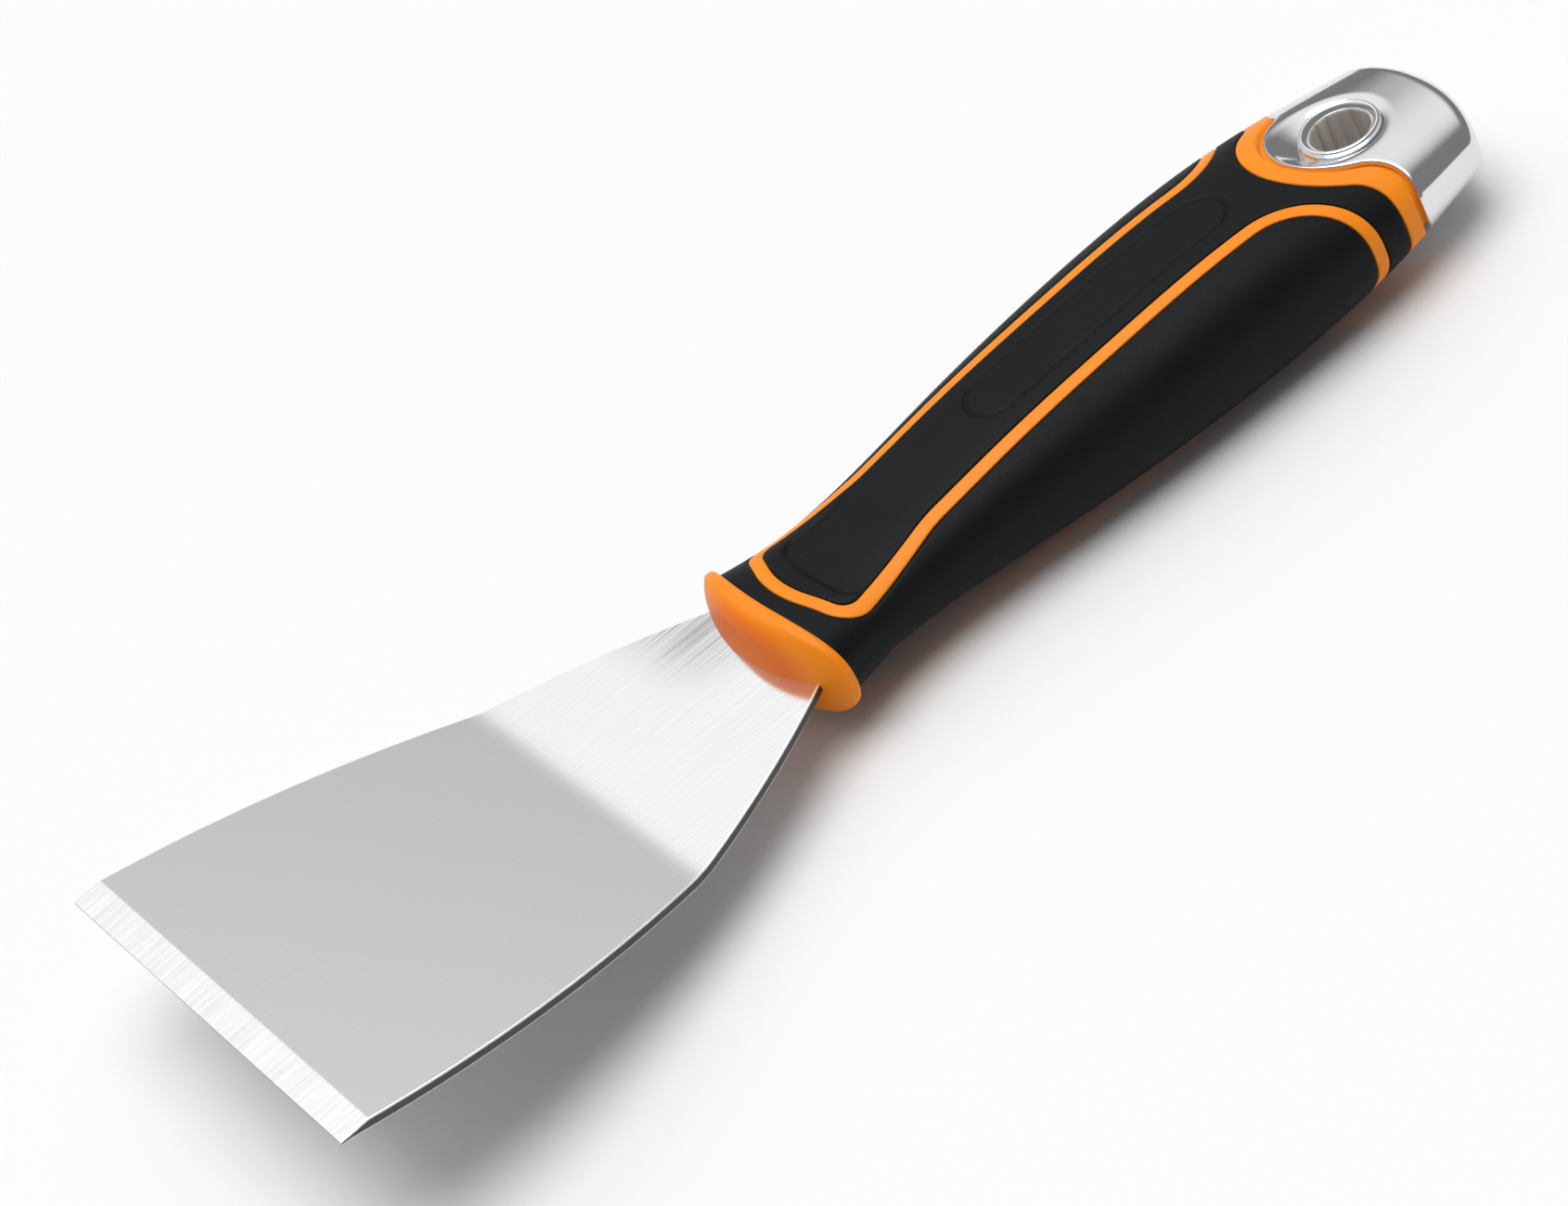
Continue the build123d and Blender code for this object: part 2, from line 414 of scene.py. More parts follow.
def joined(*shells):
    """Several closed meshes as one list of points and one of faces."""
    points, faces, base = [], [], 0
    for some_points, some_faces in shells:
        points.append(some_points)
        faces += [[v + base for v in f] for f in some_faces]
        base += len(some_points)
    return np.concatenate(points), faces


def quarter_round(g, radius):
    """Inset of an edge rounded to a radius, from the plan distance g to the edge."""
    t = np.clip(1 - g / radius, 0, 1)
    return radius * (1 - np.sqrt(np.maximum(1 - t * t, 0)))


# ---- materials ----

class Shader:
    """Small helper that builds a node material."""

    def __init__(self, name):
        self.material = bpy.data.materials.new(name)
        self.material.use_nodes = True
        self.tree = self.material.node_tree
        self.principled = self.tree.nodes["Principled BSDF"]
        self.coordinates = self.node("ShaderNodeTexCoord").outputs["Object"]

    def node(self, kind, inputs=None, **settings):
        node = self.tree.nodes.new(kind)
        for key, value in settings.items():
            setattr(node, key, value)
        for key, value in (inputs or {}).items():
            self.feed(node, key, value)
        return node

    def feed(self, node, key, value):
        if isinstance(value, bpy.types.NodeSocket):
            self.tree.links.new(value, node.inputs[key])
        else:
            node.inputs[key].default_value = value

    def noise(self, stretch, scale=1.0, detail=3.0, roughness=0.5):
        mapping = self.node("ShaderNodeMapping", {"Vector": self.coordinates, "Scale": stretch})
        inputs = {"Vector": mapping.outputs[0], "Scale": scale, "Detail": detail, "Roughness": roughness}
        return self.node("ShaderNodeTexNoise", inputs).outputs["Fac"]

    def remap(self, value, low, high, to_low, to_high, curve="LINEAR"):
        inputs = {"Value": value, "From Min": low, "From Max": high, "To Min": to_low, "To Max": to_high}
        return self.node("ShaderNodeMapRange", inputs, interpolation_type=curve).outputs["Result"]

    def math(self, operation, a, b):
        return self.node("ShaderNodeMath", {0: a, 1: b}, operation=operation).outputs[0]

    def mix(self, factor, a, b):
        """Mix of two colours."""
        return self.node("ShaderNodeMix", {0: factor, 6: a, 7: b}, data_type="RGBA").outputs[2]

    def blend(self, factor, a, b):
        """Mix of two numbers."""
        return self.node("ShaderNodeMix", {0: factor, 2: a, 3: b}, data_type="FLOAT").outputs[0]

    def axis(self, name):
        return self.node("ShaderNodeSeparateXYZ", {0: self.coordinates}).outputs[name]

    def bump(self, height, distance, strength=1.0, under=None):
        inputs = {"Height": height, "Distance": distance, "Strength": strength}
        if under is not None:
            inputs["Normal"] = under
        return self.node("ShaderNodeBump", inputs).outputs["Normal"]

    def set(self, **inputs):
        for key, value in inputs.items():
            self.feed(self.principled, key.replace("_", " "), value)
        return self.material


# A steel face whose roughness runs across about 0.27 renders with blotches, so the front plate
# stays below that and the bevel above it.
FRONT_ROUGH = (0.24, 0.27)
BEVEL_ROUGH = (0.28, 0.42)


def steel_face():
    """Polished neck with lengthwise grinding marks, satin front plate, soft change at the bend."""
    s = Shader("steel_face")
    front = s.remap(s.axis("X"), 0.1432, 0.1458, 0.0, 1.0, "SMOOTHSTEP")
    streaks = s.noise((22, 3000, 22), detail=5.0, roughness=0.6)
    broad = s.noise((14, 160, 14), detail=3.0)
    speckle = s.noise((2600, 2600, 2600), detail=2.0)
    neck_tone = s.mix(s.remap(streaks, 0.35, 0.65, 0, 1), (0.86, 0.86, 0.865, 1), (0.94, 0.94, 0.94, 1))
    # Painted shade: near the nose and on the -Y side, the neck's tone is mixed in streaks to a dark grey.
    by_nose = s.remap(s.axis("X"), 0.116, 0.129, 1.0, 0.0, "SMOOTHSTEP")
    by_left = s.remap(s.axis("Y"), -0.011, 0.003, 1.0, 0.0, "SMOOTHSTEP")
    nose_side_painted_shade = s.math("MULTIPLY", s.math("MULTIPLY", by_nose, by_left), s.remap(streaks, 0.42, 0.58, 0.25, 1.0))
    neck_tone = s.mix(nose_side_painted_shade, neck_tone, (0.42, 0.425, 0.43, 1))
    front_tone = s.mix(s.remap(speckle, 0.3, 0.7, 0, 1), (0.75, 0.75, 0.75, 1), (0.765, 0.765, 0.765, 1))
    neck_rough = s.remap(streaks, 0.3, 0.75, 0.15, 0.09)
    neck_rough = s.math("ADD", neck_rough, s.remap(broad, 0.35, 0.65, -0.02, 0.03))
    rough = s.blend(front, neck_rough, s.remap(broad, 0.3, 0.7, *FRONT_ROUGH))
    marks = s.bump(streaks, 0.00002, 0.35)
    normal = s.bump(speckle, 0.00001, 0.05, marks)
    tone = s.mix(front, neck_tone, front_tone)
    return s.set(Base_Color=tone, Metallic=1.0, Roughness=rough, Normal=normal)


def steel_bevel():
    """Ground edge strip, its striations running square to the edge."""
    s = Shader("steel_bevel")
    lines = s.noise((70, 2300, 70), detail=4.0, roughness=0.65)
    bands = s.noise((10, 420, 10), detail=2.0)
    tone = s.mix(s.remap(lines, 0.36, 0.62, 0, 1), (0.84, 0.84, 0.84, 1), (1.0, 1.0, 1.0, 1))
    rough = s.remap(bands, 0.3, 0.7, *BEVEL_ROUGH)
    return s.set(Base_Color=tone, Metallic=1.0, Roughness=rough, Normal=s.bump(lines, 0.00004, 0.6))


def steel_side():
    """Sheared and tumbled side face of the plate, its near-black tone painted shade."""
    s = Shader("steel_side")
    grain = s.noise((160, 160, 1500), detail=4.0)
    # Painted shade: the base colour is kept near black so that the side faces read dark.
    tone = s.mix(grain, (0.05, 0.05, 0.052, 1), (0.12, 0.12, 0.122, 1))
    rough = s.remap(grain, 0.3, 0.7, 0.34, 0.52)
    return s.set(Base_Color=tone, Metallic=1.0, Roughness=rough, Normal=s.bump(grain, 0.00004, 0.5))


def orange_plastic():
    """Smooth moulded plastic, with painted shade: the nose's front face is mixed to a deeper orange."""
    s = Shader("orange_plastic")
    cloud = s.noise((70, 70, 70), detail=2.0)
    fine = s.noise((1500, 1500, 1500), detail=2.0)
    tone = s.mix(cloud, (0.89, 0.248, 0.007, 1), (0.93, 0.272, 0.010, 1))
    # Painted shade: past x = 112 mm the nose's front face turns a deeper orange.
    face = s.remap(s.axis("X"), 0.1122, 0.1146, 0.0, 1.0, "SMOOTHSTEP")
    tone = s.mix(face, tone, (0.84, 0.165, 0.004, 1))
    rough = s.remap(fine, 0.3, 0.7, 0.36, 0.46)
    normal = s.bump(fine, 0.00002, 0.25)
    s.set(Subsurface_Weight=0.12, Subsurface_Radius=(1.0, 0.35, 0.1), Subsurface_Scale=0.0012)
    return s.set(Base_Color=tone, Roughness=rough, Normal=normal, Specular_IOR_Level=0.22)


def black_rubber():
    """Matte soft-touch rubber."""
    s = Shader("black_rubber")
    fine = s.noise((2200, 2200, 2200), detail=3.0)
    cloud = s.noise((55, 55, 55), detail=3.0)
    tone = s.mix(cloud, (0.0030, 0.0042, 0.0048, 1), (0.0052, 0.0064, 0.0070, 1))
    rough = s.math("ADD", s.remap(fine, 0.3, 0.7, 0.46, 0.56), s.remap(cloud, 0.3, 0.7, -0.04, 0.05))
    normal = s.bump(fine, 0.00003, 0.5)
    return s.set(Base_Color=tone, Roughness=rough, Normal=normal, Specular_IOR_Level=0.13)


def chrome_plate():
    """Bright plating over a slightly wavy casting."""
    s = Shader("chrome_plate")
    wave = s.noise((90, 90, 90), detail=2.0)
    fine = s.noise((900, 900, 900), detail=3.0)
    tone = s.mix(wave, (0.72, 0.73, 0.75, 1), (0.80, 0.81, 0.83, 1))
    rough = s.remap(fine, 0.3, 0.7, 0.07, 0.13)
    normal = s.bump(fine, 0.00001, 0.15, s.bump(wave, 0.0002, 0.12))
    return s.set(Base_Color=tone, Metallic=1.0, Roughness=rough, Normal=normal)


def sleeve_plate():
    """Bright rim; the bore is duller, with drawn streaks along it."""
    s = Shader("sleeve_plate")
    plan = {0: s.coordinates, 1: (1, 1, 0)}
    flat = s.node("ShaderNodeVectorMath", plan, operation="MULTIPLY").outputs[0]
    radius = s.node("ShaderNodeVectorMath", {0: flat}, operation="LENGTH").outputs["Value"]
    bore_radius = hole_radius * MM
    bore = s.remap(radius, bore_radius + 0.00012, bore_radius + 0.00035, 1.0, 0.0)
    streaks = s.noise((700, 700, 40), detail=4.0)
    dull = s.mix(s.remap(streaks, 0.35, 0.65, 0, 1), (0.50, 0.46, 0.43, 1), (0.88, 0.84, 0.81, 1))
    tone = s.mix(bore, (0.80, 0.81, 0.82, 1), dull)
    rim_rough = s.remap(s.noise((900, 900, 900)), 0.3, 0.7, 0.06, 0.12)
    rough = s.blend(bore, rim_rough, s.remap(streaks, 0.35, 0.65, 0.28, 0.42))
    metal = s.remap(bore, 0.0, 1.0, 1.0, 0.45)
    normal = s.bump(streaks, 0.00004, 0.2)
    return s.set(Base_Color=tone, Metallic=metal, Roughness=rough, Normal=normal)


FACE_SLOT, BEVEL_SLOT, SIDE_SLOT = range(3)
steel_materials = [steel_face(), steel_bevel(), steel_side()]
orange = orange_plastic()
rubber = black_rubber()
chrome = chrome_plate()
sleeve_metal = sleeve_plate()


# ---- blade ----

def blade_mesh():
    """Plate with a bend, a bevel, small broken edges and a tang that ends inside the handle."""
    edge_x = blade_high[0]
    blade_half = blade_high[1]
    bevel_x = edge_x - BEVEL_LENGTH
    bend_start = BEND_X - BEND_HALF
    bend_end = BEND_X + BEND_HALF
    tang_x = hole_radius + SLEEVE_WALL + TANG_GAP
    xs = np.concatenate([
        [tang_x, tang_x + 1, 60.0, NECK_START_X - SHOULDER_STEP, NECK_START_X],
        np.arange(NECK_START_X + 2, bend_start, 1.0),
        np.linspace(bend_start, bend_end, 17),
        np.arange(bend_end + 1, bevel_x - 0.7, 1.0),
        [bevel_x - 0.6, bevel_x - 0.25, bevel_x - 0.07, bevel_x + 0.07, bevel_x + 0.3],
        np.linspace(bevel_x + 1, edge_x - 0.6, 4),
        [edge_x - 0.15, edge_x - 0.04, edge_x],
    ])
    t = np.clip((xs - bend_start) / (2 * BEND_HALF), 0, 1)
    rise = BEND_SLOPE * np.where(xs > bend_end, xs - BEND_X, BEND_HALF * t * t)
    drop = np.clip((xs - bevel_x) / BEVEL_LENGTH, 0, 1) * (PLATE - EDGE_THICKNESS)
    low = rise - PLATE / 2
    high = rise + PLATE / 2 - drop
    side = np.minimum(xs, OUTLINE_TANGENT_X) - OUTLINE_TANGENT_X
    half = blade_half - OUTLINE_RADIUS + np.sqrt(OUTLINE_RADIUS ** 2 - side ** 2)
    half = np.where(xs < NECK_START_X - SHOULDER_STEP / 2, TANG_HALF, half)
    across = np.concatenate([[1.0], np.linspace(0.9, -0.9, 13), [-1.0]])
    rings = []
    for x, zl, zh, w in zip(xs, low, high, half):
        c = min(ARRIS, (zh - zl) * ARRIS_SHARE)
        r = c * ARRIS_ROUND
        top = [(x, k * (w - c), zh) for k in across]
        bottom = [(x, -k * (w - c), zl) for k in across]
        right = [(x, -w + r, zh - r), (x, -w, zh - c), (x, -w, zl + c), (x, -w + r, zl + r)]
        left = [(x, w - r, zl + r), (x, w, zl + c), (x, w, zh - c), (x, w - r, zh - r)]
        rings.append(top + right + bottom + left)
    rings = np.array(rings)
    n, m = rings.shape[:2]
    count = len(across)
    side_steps = (count + 1, 2 * count + 5)
    arris_steps = (count - 1, count, 2 * count + 6, 2 * count + 7)
    faces, slots = [], []
    for i in range(n - 1):
        for j in range(m):
            k = (j + 1) % m
            faces.append((i * m + k, (i + 1) * m + k, (i + 1) * m + j, i * m + j))
            on_bevel = j < count - 1 and xs[i] >= bevel_x - 0.08
            if j in side_steps:
                slots.append(SIDE_SLOT)
            elif j in arris_steps or on_bevel:
                slots.append(BEVEL_SLOT)
            else:
                slots.append(FACE_SLOT)
    faces += [tuple(reversed(range(m))), tuple((n - 1) * m + j for j in range(m))]
    slots += [SIDE_SLOT, SIDE_SLOT]
    return rings.reshape(-1, 3), faces, slots


def keep_edges_crisp(ob, angle):
    """Marks edges sharper than the angle, so that smooth shading stops there."""
    mesh = ob.data
    normals = {}
    for face in mesh.polygons:
        for key in face.edge_keys:
            normals.setdefault(key, []).append(face.normal.copy())
    limit = math.cos(math.radians(angle))
    for edge in mesh.edges:
        pair = normals.get(edge.key, [])
        edge.use_edge_sharp = len(pair) == 2 and pair[0].dot(pair[1]) < limit


points, faces, slots = blade_mesh()
blade = make_object("blade_visual", points, faces, steel_materials, slots)
keep_edges_crisp(blade, 20)


# ---- orange core ----

RIM_LEVELS = (0.0, 0.05, 0.14, 0.3)
LINE_ROUND = 0.3
LINE_SINK = 0.02
COLLAR_ROUND = 0.4
COLLAR_LAP = 0.4
STEP_DEPTH = 1.1
STEP_START = 0.7
STEP_RUN = 0.3
TENON_GAP = 1.2
TENON_LAP = 0.1
CLOSING_SCALE = 0.02


def line_field(x, y, z):
    """Plan distance inside the divider line."""
    return LINE_HALF - np.abs(line_distance(x, y))


def rib_shell():
    """Divider line: a band let into the surface, its crown slightly above the rubber's edges."""
    def inset(u, phi, clips, details):
        return quarter_round(clips[0], LINE_ROUND) + LINE_SINK

    clips = [(line_field, RIM_LEVELS)]
    return shell(on_body, np.linspace(*LINE_ROWS), FINE_COLUMNS, clips, [], inset, CORE_SKIN)


def collar_shell():
    """Rear collar with a lower step next to the cap's lip."""
    def field(x, y, z):
        return collar_distance(x, y)

    def before_lip(x, y, z):
        return COLLAR_LAP - lip_distance(x, y)

    def step(x, y, z):
        return -lip_distance(x, y)

    def inset(u, phi, clips, details):
        climb = smooth((details[0] - STEP_START) / STEP_RUN)
        return quarter_round(clips[0], COLLAR_ROUND) + STEP_DEPTH * (1 - climb)

    clips = [(field, RIM_LEVELS), (before_lip, (0.0,))]
    details = [(step, (0.0, STEP_START, 0.85, STEP_START + STEP_RUN))]
    return shell(on_body, np.linspace(*COLLAR_ROWS), FINE_COLUMNS, clips, details, inset, CORE_SKIN)


def nose_shell():
    """Solid bead: its back bowed in plan only, its front swelling over to the blade."""
    phi = np.linspace(0, 2 * math.pi, 257)[:-1]
    rows = []

    def ring(inset, scale, x_of_y):
        y, z = squircle(phi, NOSE_HALF_WIDTH - inset, NOSE_HALF_THICKNESS - inset)
        y, z = y * scale, z * scale
        rows.append(np.stack([x_of_y(y, z), y, z], -1))

    def back(y, z):
        return bowed_x(y, NOSE_BACK_X, NOSE_BACK_RADIUS)

    def front(y, z):
        lean = NOSE_LEAN * (np.abs(z) / NOSE_HALF_THICKNESS) ** NOSE_LEAN_POWER
        return bowed_x(y, core_high[0], NOSE_FRONT_RADIUS) - lean

    def turn_over(y, z, t):
        room = front(y, z) - back(y, z) - NOSE_BACK_ROUND - 0.5
        return front(y, z) - np.clip(room, 0.3, NOSE_FRONT_ROUND * 0.7) * (1 - math.sin(t))

    for scale in (CLOSING_SCALE, 0.3, 0.6, 0.8, 0.93):
        ring(NOSE_BACK_ROUND, scale, back)
    for t in np.linspace(0, math.pi / 2, 7):
        rise = NOSE_BACK_ROUND * (1 - math.cos(t))
        ring(NOSE_BACK_ROUND * (1 - math.sin(t)), 1.0, lambda y, z: back(y, z) + rise)
    for t in np.linspace(0, math.pi / 2, 25):
        ring(NOSE_FRONT_ROUND * (1 - math.cos(t)), 1.0, lambda y, z: turn_over(y, z, t))
    for scale in (0.97, 0.9, 0.8, 0.65, 0.5, 0.3, CLOSING_SCALE):
        ring(NOSE_FRONT_ROUND, scale, front)
    return tube(np.array(rows))


def tenon_shell():
    """Hidden body that reaches slightly into the rubber skins."""
    phi = np.linspace(0, 2 * math.pi, 97)[:-1]
    start = hole_radius + SLEEVE_WALL + TENON_GAP
    end = NOSE_BACK_X + 1
    xs = np.concatenate([[start], np.linspace(start, end, 60), [end]])
    rows = [on_body(np.full(len(phi), x), phi, SKIN - TENON_LAP) for x in xs]
    for i in (0, -1):
        middle = rows[i].mean(0)
        rows[i] = middle + (rows[i] - middle) * CLOSING_SCALE
    return tube(np.array(rows))


core_mesh = joined(nose_shell(), rib_shell(), collar_shell(), tenon_shell())
core = make_object("core_visual", *core_mesh, [orange])


# ---- rubber skins ----

RUBBER_ROUND = 0.45
RUBBER_LEVELS = (0.0, 0.05, 0.14, 0.28, RUBBER_ROUND)
FAR_OUTSIDE = -9.0
OVAL_MIDDLE_X = 45.8
OVAL_REACH = 19.4
OVAL_RADIUS = 4.75
OVAL_EDGE = 0.2
OVAL_SINK = 0.12
OVAL_GROOVE = 0.34
OVAL_GROOVE_HALF = 0.26
OVAL_GROOVE_END = 0.45
PAD_FRONT_X = 102.6
PAD_FRONT_Y = 1.0
PAD_FRONT_RADIUS = 38.0
PAD_MIDDLE_Y = 1.2
PAD_HALF = 9.3
PAD_TAPER = 0.02
PAD_WIDEST_X = 100
PAD_CORNER = 3.0
PAD_EDGE = 0.3
PAD_SINK = 0.6
PAD_FADE_X = 84.0
PAD_FADE_LENGTH = 12.0


def outside_line(x, y, z):
    return -line_distance(x, y) - LINE_HALF


def inside_line(x, y, z):
    return line_distance(x, y) - LINE_HALF


def before_nose(x, y, z):
    return bowed_x(y, NOSE_BACK_X, NOSE_BACK_RADIUS) - x


def before_collar(x, y, z):
    return -collar_distance(x, y)


def front_sides_shell():
    """Skin outside the divider line: the band behind the nose and both sides."""
    def inset(u, phi, clips, details):
        return quarter_round(np.minimum(clips[0], clips[1]), RUBBER_ROUND)

    clips = [(outside_line, RUBBER_LEVELS), (before_nose, RUBBER_LEVELS)]
    return shell(on_body, np.linspace(*FRONT_SIDES_ROWS), RUBBER_COLUMNS, clips, [], inset, SKIN)


def racetrack(x, y, z):
    """Distance inside the long oval panel on the top."""
    past_straight = np.maximum(np.abs(x - OVAL_MIDDLE_X) - OVAL_REACH, 0)
    return np.where(z > 0, OVAL_RADIUS - np.hypot(past_straight, y), FAR_OUTSIDE)


def thumb_pad(x, y, z):
    """Distance inside the thumb rest, a shallow area with rounded front corners on the top."""
    front = PAD_CORNER - (bowed_x(y - PAD_FRONT_Y, PAD_FRONT_X, PAD_FRONT_RADIUS) - x)
    taper = PAD_TAPER * np.abs(x - PAD_WIDEST_X)
    sides = PAD_CORNER - (PAD_HALF - np.abs(y - PAD_MIDDLE_Y) - taper)
    corner = np.hypot(np.maximum(front, 0), np.maximum(sides, 0))
    corner = corner + np.minimum(np.maximum(front, sides), 0)
    return np.where(z > 0, PAD_CORNER - corner, FAR_OUTSIDE)


def top_rear_shell():
    """Skin inside the divider line: top, underside and the band in front of the collar."""
    def inset(u, phi, clips, details):
        oval = smooth((details[0] + OVAL_EDGE) / (2 * OVAL_EDGE))
        groove = np.exp(-(details[0] / OVAL_GROOVE_HALF) ** 2)
        fade = smooth((u - PAD_FADE_X) / PAD_FADE_LENGTH)
        pad = smooth((details[1] + PAD_EDGE) / (2 * PAD_EDGE)) * fade
        edge = quarter_round(np.minimum(clips[0], clips[1]), RUBBER_ROUND)
        return edge + OVAL_SINK * oval + OVAL_GROOVE * groove + PAD_SINK * pad

    clips = [(inside_line, RUBBER_LEVELS), (before_collar, RUBBER_LEVELS)]
    details = [
        (racetrack, (-OVAL_GROOVE_END, -OVAL_EDGE, 0.0, OVAL_EDGE, OVAL_GROOVE_END)),
        (thumb_pad, (-PAD_EDGE, 0.0, PAD_EDGE)),
    ]
    return shell(on_body, np.linspace(*TOP_REAR_ROWS), RUBBER_COLUMNS, clips, details, inset, SKIN)


front_sides = make_object("front_sides_visual", *front_sides_shell(), [rubber])
top_rear = make_object("top_rear_visual", *top_rear_shell(), [rubber])


# ---- cap and sleeve ----

# Along the cap, u is x from CAP_SIDE_U forwards. Behind it u is stretched to reach the
# end's rounding at CAP_TURN_U, which takes one unit, and the closing end takes the next.
CAP_TURN_U = -20.0
CAP_SIDE_U = -8.0
CAP_LIP_ROUND = 0.55
CAP_INSIDE_INSET = 1.5
CAP_INSIDE_Z = DISH_FLOOR_Z - 1.6


def end_surface_x(y):
    """x of the cap's bowed end at a distance y from the middle."""
    return cap_low[0] + CAP_END_RADIUS - np.sqrt(np.maximum(CAP_END_RADIUS ** 2 - y ** 2, 0))


def on_cap(u, phi, inset):
    """Cap surface: u is x on the sides, and runs on over the bowed end."""
    inset = np.broadcast_to(np.asarray(inset, float), u.shape)
    r = CAP_END_ROUND
    end_depth = np.clip(CAP_TURN_U - u, 0, 2)
    turn = np.clip(end_depth, 0, 1) * math.pi / 2
    shrink = np.clip(end_depth - 1, 0, 1)
    side_inset = inset + r * (1 - np.cos(turn))
    # The end's bow depends on its half width there, so the two are settled in a few passes.
    end_x = np.full(u.shape, cap_low[0])
    for _ in range(5):
        end_x = end_surface_x(squircle(phi, half_width(end_x) - r, 1.0)[0])
    side_x = np.where(end_depth > 0, end_x + r * (1 - np.sin(turn)), u)
    blend = np.clip((u - CAP_TURN_U) / (CAP_SIDE_U - CAP_TURN_U), 0, 1)
    start_x = end_x + r
    straight = start_x + blend * (CAP_SIDE_U - start_x)
    x = np.where(end_depth > 0, side_x, np.where(u < CAP_SIDE_U, straight, u))
    y, z = squircle(phi, half_width(x) - side_inset, half_thickness(x) - side_inset)
    y, z = y * (1 - shrink), z * (1 - shrink)
    x = np.where(shrink > 0, end_surface_x(y), x) + np.where(end_depth > 0, inset, 0.0)
    height = np.abs(z)
    dish = DISH_FLOOR_Z + (np.hypot(x, y) ** 2 - sleeve_high[1] ** 2) / (2 * DISH_RADIUS)
    gap = np.clip(0.5 + 0.5 * (dish - height) / DISH_BLEND, 0, 1)
    lowered = gap * height + (1 - gap) * dish - DISH_BLEND * gap * (1 - gap)
    outside = np.minimum(lowered, height)
    inside = np.minimum(height, CAP_INSIDE_Z)
    scooped = np.where(inset < CAP_INSIDE_INSET, outside, inside)
    return np.stack([x, y, np.sign(z) * scooped], -1)


def cap_shell():
    """Cap with tongues on the top and the underside, open round the sleeve."""
    def behind_lip(x, y, z):
        return lip_distance(x, y)

    def off_hole(x, y, z):
        return np.hypot(x, y) - (sleeve_high[1] - 0.35)

    def inset(u, phi, clips, details):
        return quarter_round(clips[0], CAP_LIP_ROUND)

    u = np.concatenate([
        np.linspace(CAP_TURN_U - 2, CAP_TURN_U - 1, 14),
        np.linspace(CAP_TURN_U - 0.92, CAP_TURN_U, 14),
        np.linspace(CAP_TURN_U + 0.5, CAP_SIDE_U, 24),
        np.linspace(CAP_SIDE_U + 0.4, 12.0, 64),
    ])
    clips = [(behind_lip, (0.0, 0.06, 0.17, 0.34, CAP_LIP_ROUND)), (off_hole, (0.0,))]
    return shell(on_cap, u, FINE_COLUMNS, clips, [], inset, CAP_WALL)


# The mouth's profile inside the bead: distance outside the bore, depth below the rim.
MOUTH_SLOPE = [(0.72, 0.24), (0.56, 0.42), (0.44, 0.60), (0.38, 0.72)]
MOUTH_GROOVE = [(0.34, 0.76), (0.30, 0.73)]
MOUTH_EDGE = [(0.22, 0.70), (0.12, 0.76), (0.04, 0.92), (0.0, 1.2)]


def sleeve_profile():
    """Tube with a rolled bead, a fine groove and a sloped mouth at each end."""
    outside = hole_radius + SLEEVE_WALL
    top, rim = sleeve_high[2], sleeve_high[1]
    seat = DISH_FLOOR_Z - 0.5
    bead = arc_points((rim - BEAD_RADIUS, top - BEAD_RADIUS), BEAD_RADIUS, 0.0, math.radians(125), 12)
    mouth = [(hole_radius + out, top - down) for out, down in MOUTH_SLOPE + MOUTH_GROOVE + MOUTH_EDGE]
    upper = [(rim, seat)] + bead + mouth
    lower = [(r, -z) for r, z in reversed(upper)]
    bore = [(hole_radius, 3.0), (hole_radius, 0.0), (hole_radius, -3.0)]
    return upper + bore + lower + [(outside, -seat), (outside, seat)]


def sleeve_mesh():
    """The profile turned round the hole's axis."""
    profile = sleeve_profile()
    steps = 144
    points, faces = [], []
    for i in range(steps):
        t = 2 * math.pi * i / steps
        points += [(r * math.cos(t), r * math.sin(t), z) for r, z in profile]
    m = len(profile)
    for i in range(steps):
        k = (i + 1) % steps
        for j in range(m):
            n = (j + 1) % m
            faces.append((i * m + j, k * m + j, k * m + n, i * m + n))
    return np.array(points), faces


cap = make_object("cap_visual", *cap_shell(), [chrome])
sleeve = make_object("sleeve_visual", *sleeve_mesh(), [sleeve_metal])
keep_edges_crisp(sleeve, 50)


# ---- what stands for what ----

for piece, node, slot in (
    (blade, "blade", "blade_steel"),
    (core, "handle_core", "core_plastic"),
    (front_sides, "grip_front_sides", "grip_rubber"),
    (top_rear, "grip_top_rear", "grip_rubber"),
    (cap, "end_cap", "cap_chrome"),
    (sleeve, "hang_hole_sleeve", "sleeve_metal"),
):
    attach(piece, "root")
    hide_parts(node)


# ---- stage ----

FLOOR_SIZE = 14.0
SOFT_BOX_ENERGY = 1.75
SOFT_BOX_ANGLE = math.radians(52.0)
SOFT_BOX_FROM = (0.02, 0.02, 1.0)
SKY_LEAN = -0.35
SKY_RAMP = {"From Min": 0.55, "From Max": 0.90, "To Min": 0.23, "To Max": 1.02}
BACKGROUND = (0.90, 0.90, 0.90, 1)

pieces = (blade, core, front_sides, top_rear, cap, sleeve)
floor_z = min(v.co.z for ob in pieces for v in ob.data.vertices)


def flat_panel(name, centre, size, facing, material):
    """Square panel that faces a point."""
    half = size / 2
    corners = [(-half, -half, 0), (half, -half, 0), (half, half, 0), (-half, half, 0)]
    mesh = bpy.data.meshes.new(name)
    mesh.from_pydata(corners, [], [(0, 1, 2, 3)])
    mesh.materials.append(material)
    ob = bpy.data.objects.new(name, mesh)
    bpy.context.scene.collection.objects.link(ob)
    aim = Vector(facing) - Vector(centre)
    ob.matrix_world = Matrix.Translation(centre) @ aim.to_track_quat("Z", "Y").to_matrix().to_4x4()


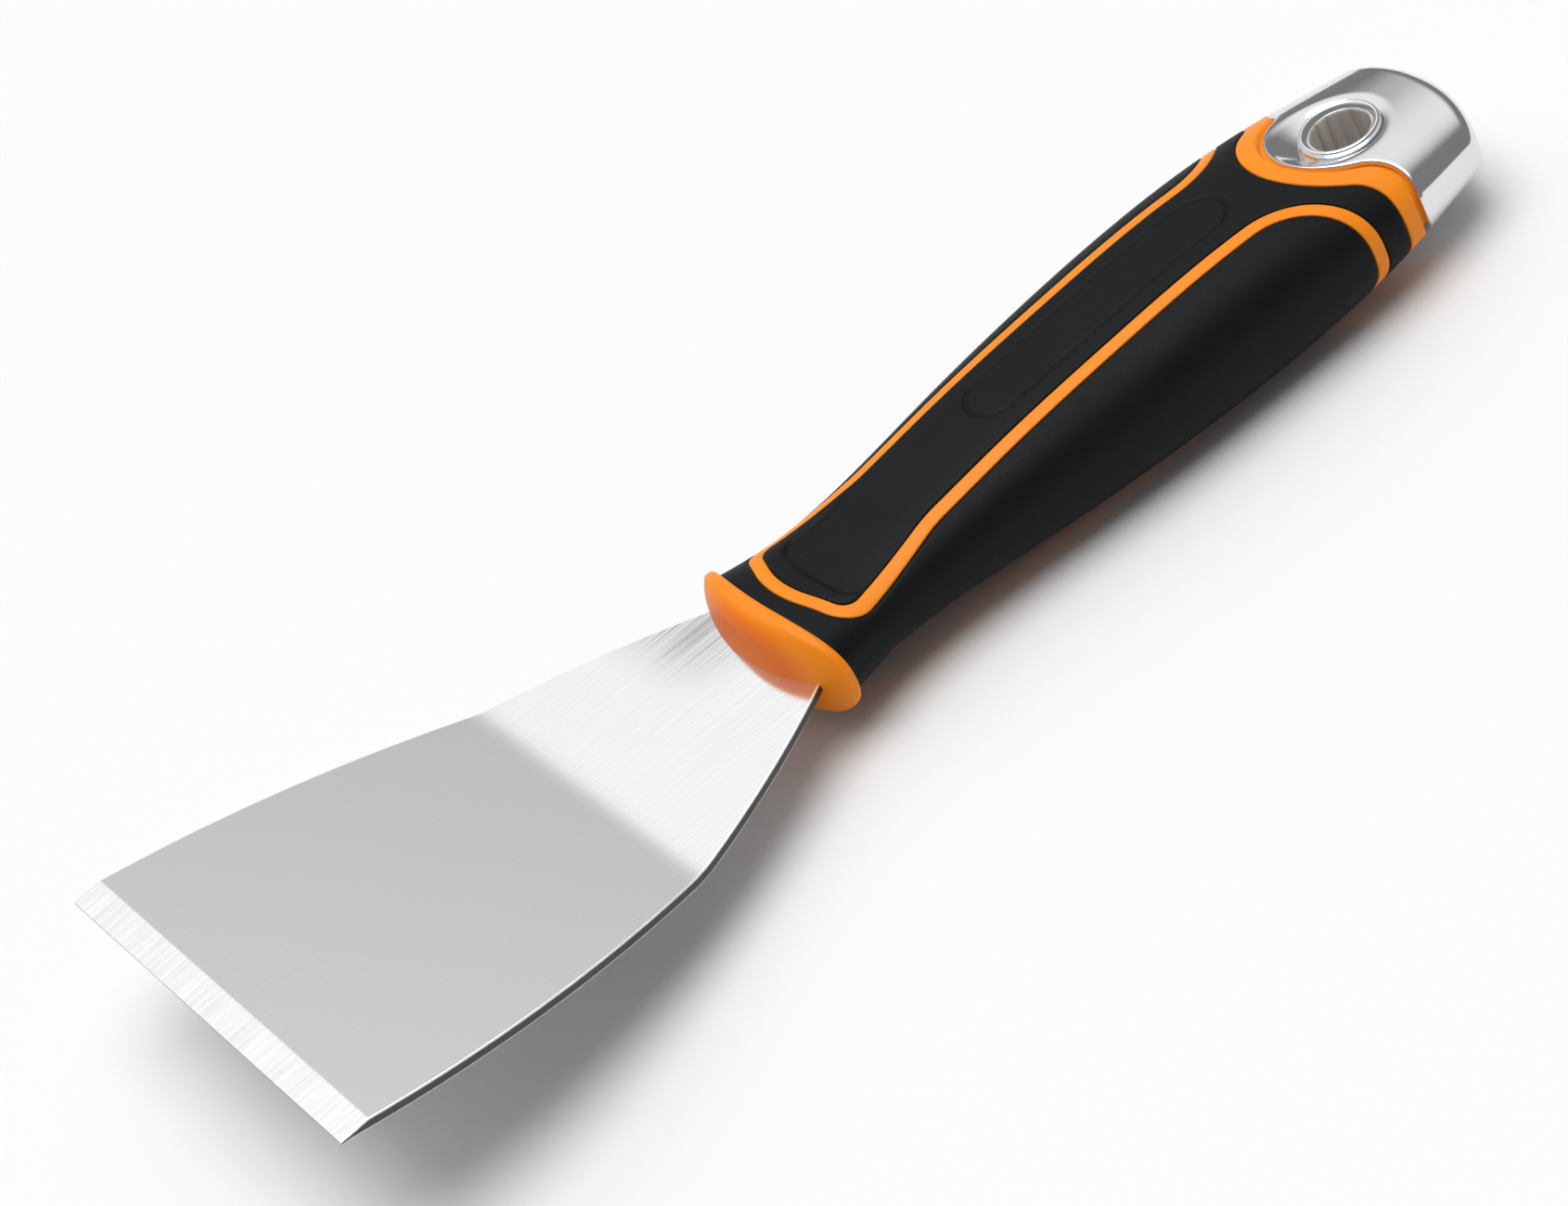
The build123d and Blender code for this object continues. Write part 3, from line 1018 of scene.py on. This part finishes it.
paper = Shader("floor_paper")
paper_grain = paper.noise((900, 900, 900), detail=3.0)
paper_tone = paper.mix(paper_grain, (0.82, 0.82, 0.82, 1), (0.84, 0.84, 0.84, 1))
paper_normal = paper.bump(paper_grain, 0.00002, 0.1)
paper.set(Base_Color=paper_tone, Roughness=0.85, Specular_IOR_Level=0.1, Normal=paper_normal)
flat_panel("floor", (0.1, 0, floor_z), FLOOR_SIZE, (0.1, 0, 1.0), paper.material)

soft_box = bpy.data.lights.new("soft_box", "SUN")
soft_box.energy = SOFT_BOX_ENERGY
soft_box.angle = SOFT_BOX_ANGLE
soft_box_object = bpy.data.objects.new("soft_box", soft_box)
bpy.context.scene.collection.objects.link(soft_box_object)
soft_box_object.matrix_world = Vector(SOFT_BOX_FROM).to_track_quat("Z", "Y").to_matrix().to_4x4()

# Sky: dark low down and bright overhead, leaning towards -Y; the camera itself sees a pale tone.
world = bpy.data.worlds.new("studio")
bpy.context.scene.world = world
world.use_nodes = True
tree = world.node_tree
generated = tree.nodes.new("ShaderNodeTexCoord").outputs["Generated"]
split = tree.nodes.new("ShaderNodeSeparateXYZ")
tree.links.new(generated, split.inputs[0])
lean = tree.nodes.new("ShaderNodeMath")
lean.operation = "MULTIPLY_ADD"
lean.inputs[1].default_value = SKY_LEAN
tree.links.new(split.outputs["Y"], lean.inputs[0])
tree.links.new(split.outputs["Z"], lean.inputs[2])
ramp = tree.nodes.new("ShaderNodeMapRange")
ramp.interpolation_type = "SMOOTHSTEP"
for key, value in SKY_RAMP.items():
    ramp.inputs[key].default_value = value
tree.links.new(lean.outputs[0], ramp.inputs["Value"])
tree.links.new(ramp.outputs["Result"], tree.nodes["Background"].inputs["Color"])
pale = tree.nodes.new("ShaderNodeBackground")
pale.inputs["Color"].default_value = BACKGROUND
seen = tree.nodes.new("ShaderNodeLightPath")
either = tree.nodes.new("ShaderNodeMixShader")
tree.links.new(seen.outputs["Is Camera Ray"], either.inputs[0])
tree.links.new(tree.nodes["Background"].outputs[0], either.inputs[1])
tree.links.new(pale.outputs[0], either.inputs[2])
tree.links.new(either.outputs[0], tree.nodes["World Output"].inputs["Surface"])

# ---- camera: position in millimetres, and the directions of the view's right and up ----
CAMERA_POSITION = (281.64, 520.16, 412.89)
CAMERA_RIGHT = (-0.7477, 0.5469, -0.3767)
CAMERA_UP = (-0.6130, -0.3503, 0.7082)
LENS = 114.6

right = Vector(CAMERA_RIGHT).normalized()
up = Vector(CAMERA_UP)
up = (up - right * up.dot(right)).normalized()
back = right.cross(up)
camera_data = bpy.data.cameras.new("camera")
camera_data.lens = LENS
camera_data.sensor_width = 36.0
camera_data.sensor_fit = "HORIZONTAL"
camera_data.clip_start = 0.01
camera_data.clip_end = 50.0
camera = bpy.data.objects.new("camera", camera_data)
bpy.context.scene.collection.objects.link(camera)
turn = Matrix((right, up, back)).transposed().to_4x4()
camera.matrix_world = Matrix.Translation(Vector(CAMERA_POSITION) * MM) @ turn
bpy.context.scene.camera = camera
bpy.context.scene.view_settings.view_transform = "Standard"
